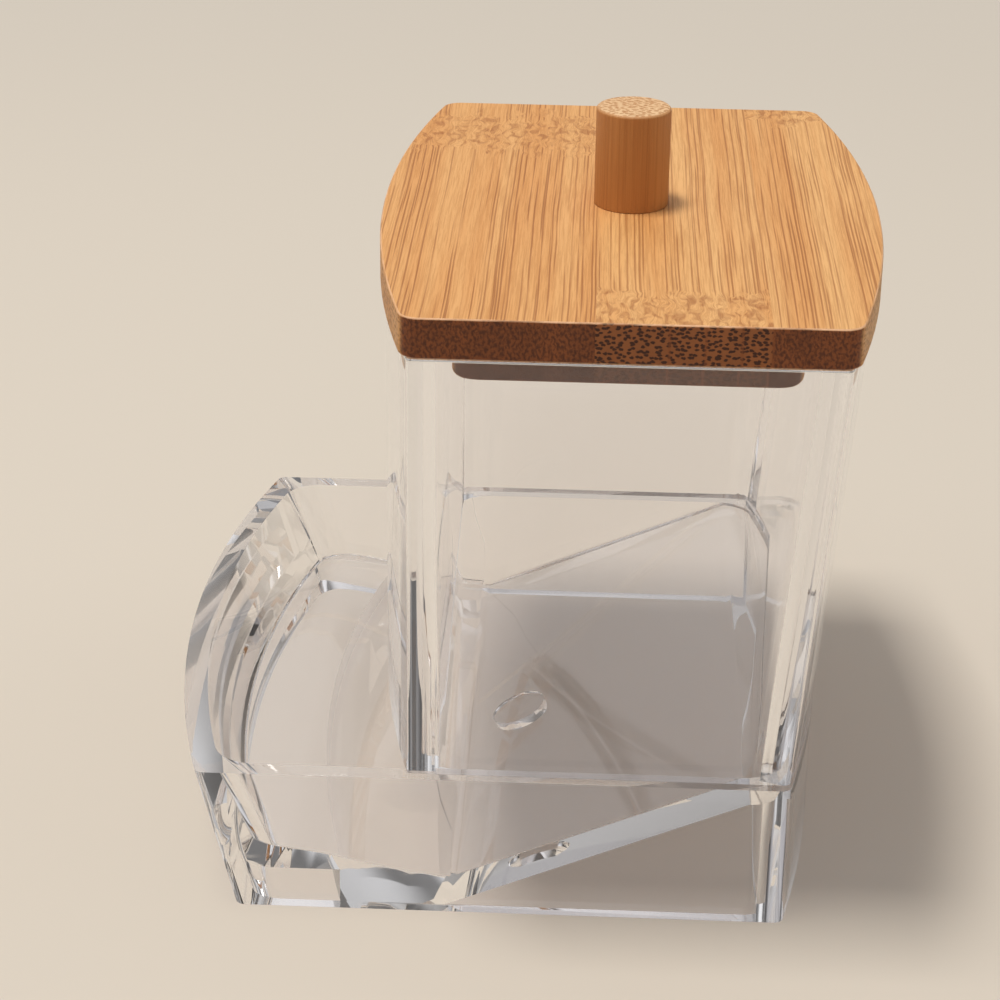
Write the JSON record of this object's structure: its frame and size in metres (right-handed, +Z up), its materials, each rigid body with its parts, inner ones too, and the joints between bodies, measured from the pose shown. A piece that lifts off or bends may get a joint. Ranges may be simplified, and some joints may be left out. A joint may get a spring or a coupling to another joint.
{
  "type": "cotton swab holder",
  "caption": "Clear box that feeds cotton swabs down a ramp into a low pick-up tray, closed by a bamboo lid with a dowel knob.",
  "frame": {"origin": "centre of the overall box in X and Y, on the ground the holder stands on", "axes": "+Z up; Y along the swabs and the straight depth of the lid; -X towards the pick-up tray"},
  "size_m": [0.0888, 0.0876, 0.0912],
  "materials": {
    "tray_base": "clear, polished",
    "chamber": "clear, polished",
    "lid": "sanded bamboo board, thin satin coat",
    "knob": "turned bamboo, thin satin coat"
  },
  "bodies": {
    "holder": {"tray_base": "tray_base", "chamber": "chamber"},
    "lid": {"lid": "lid", "knob": "knob"}
  },
  "joints": [
    {"name": "lid_lift", "type": "slide", "parent": "holder", "child": "lid", "axis": [0, 0, 1], "range_m": [0, 0.06]}
  ]
}
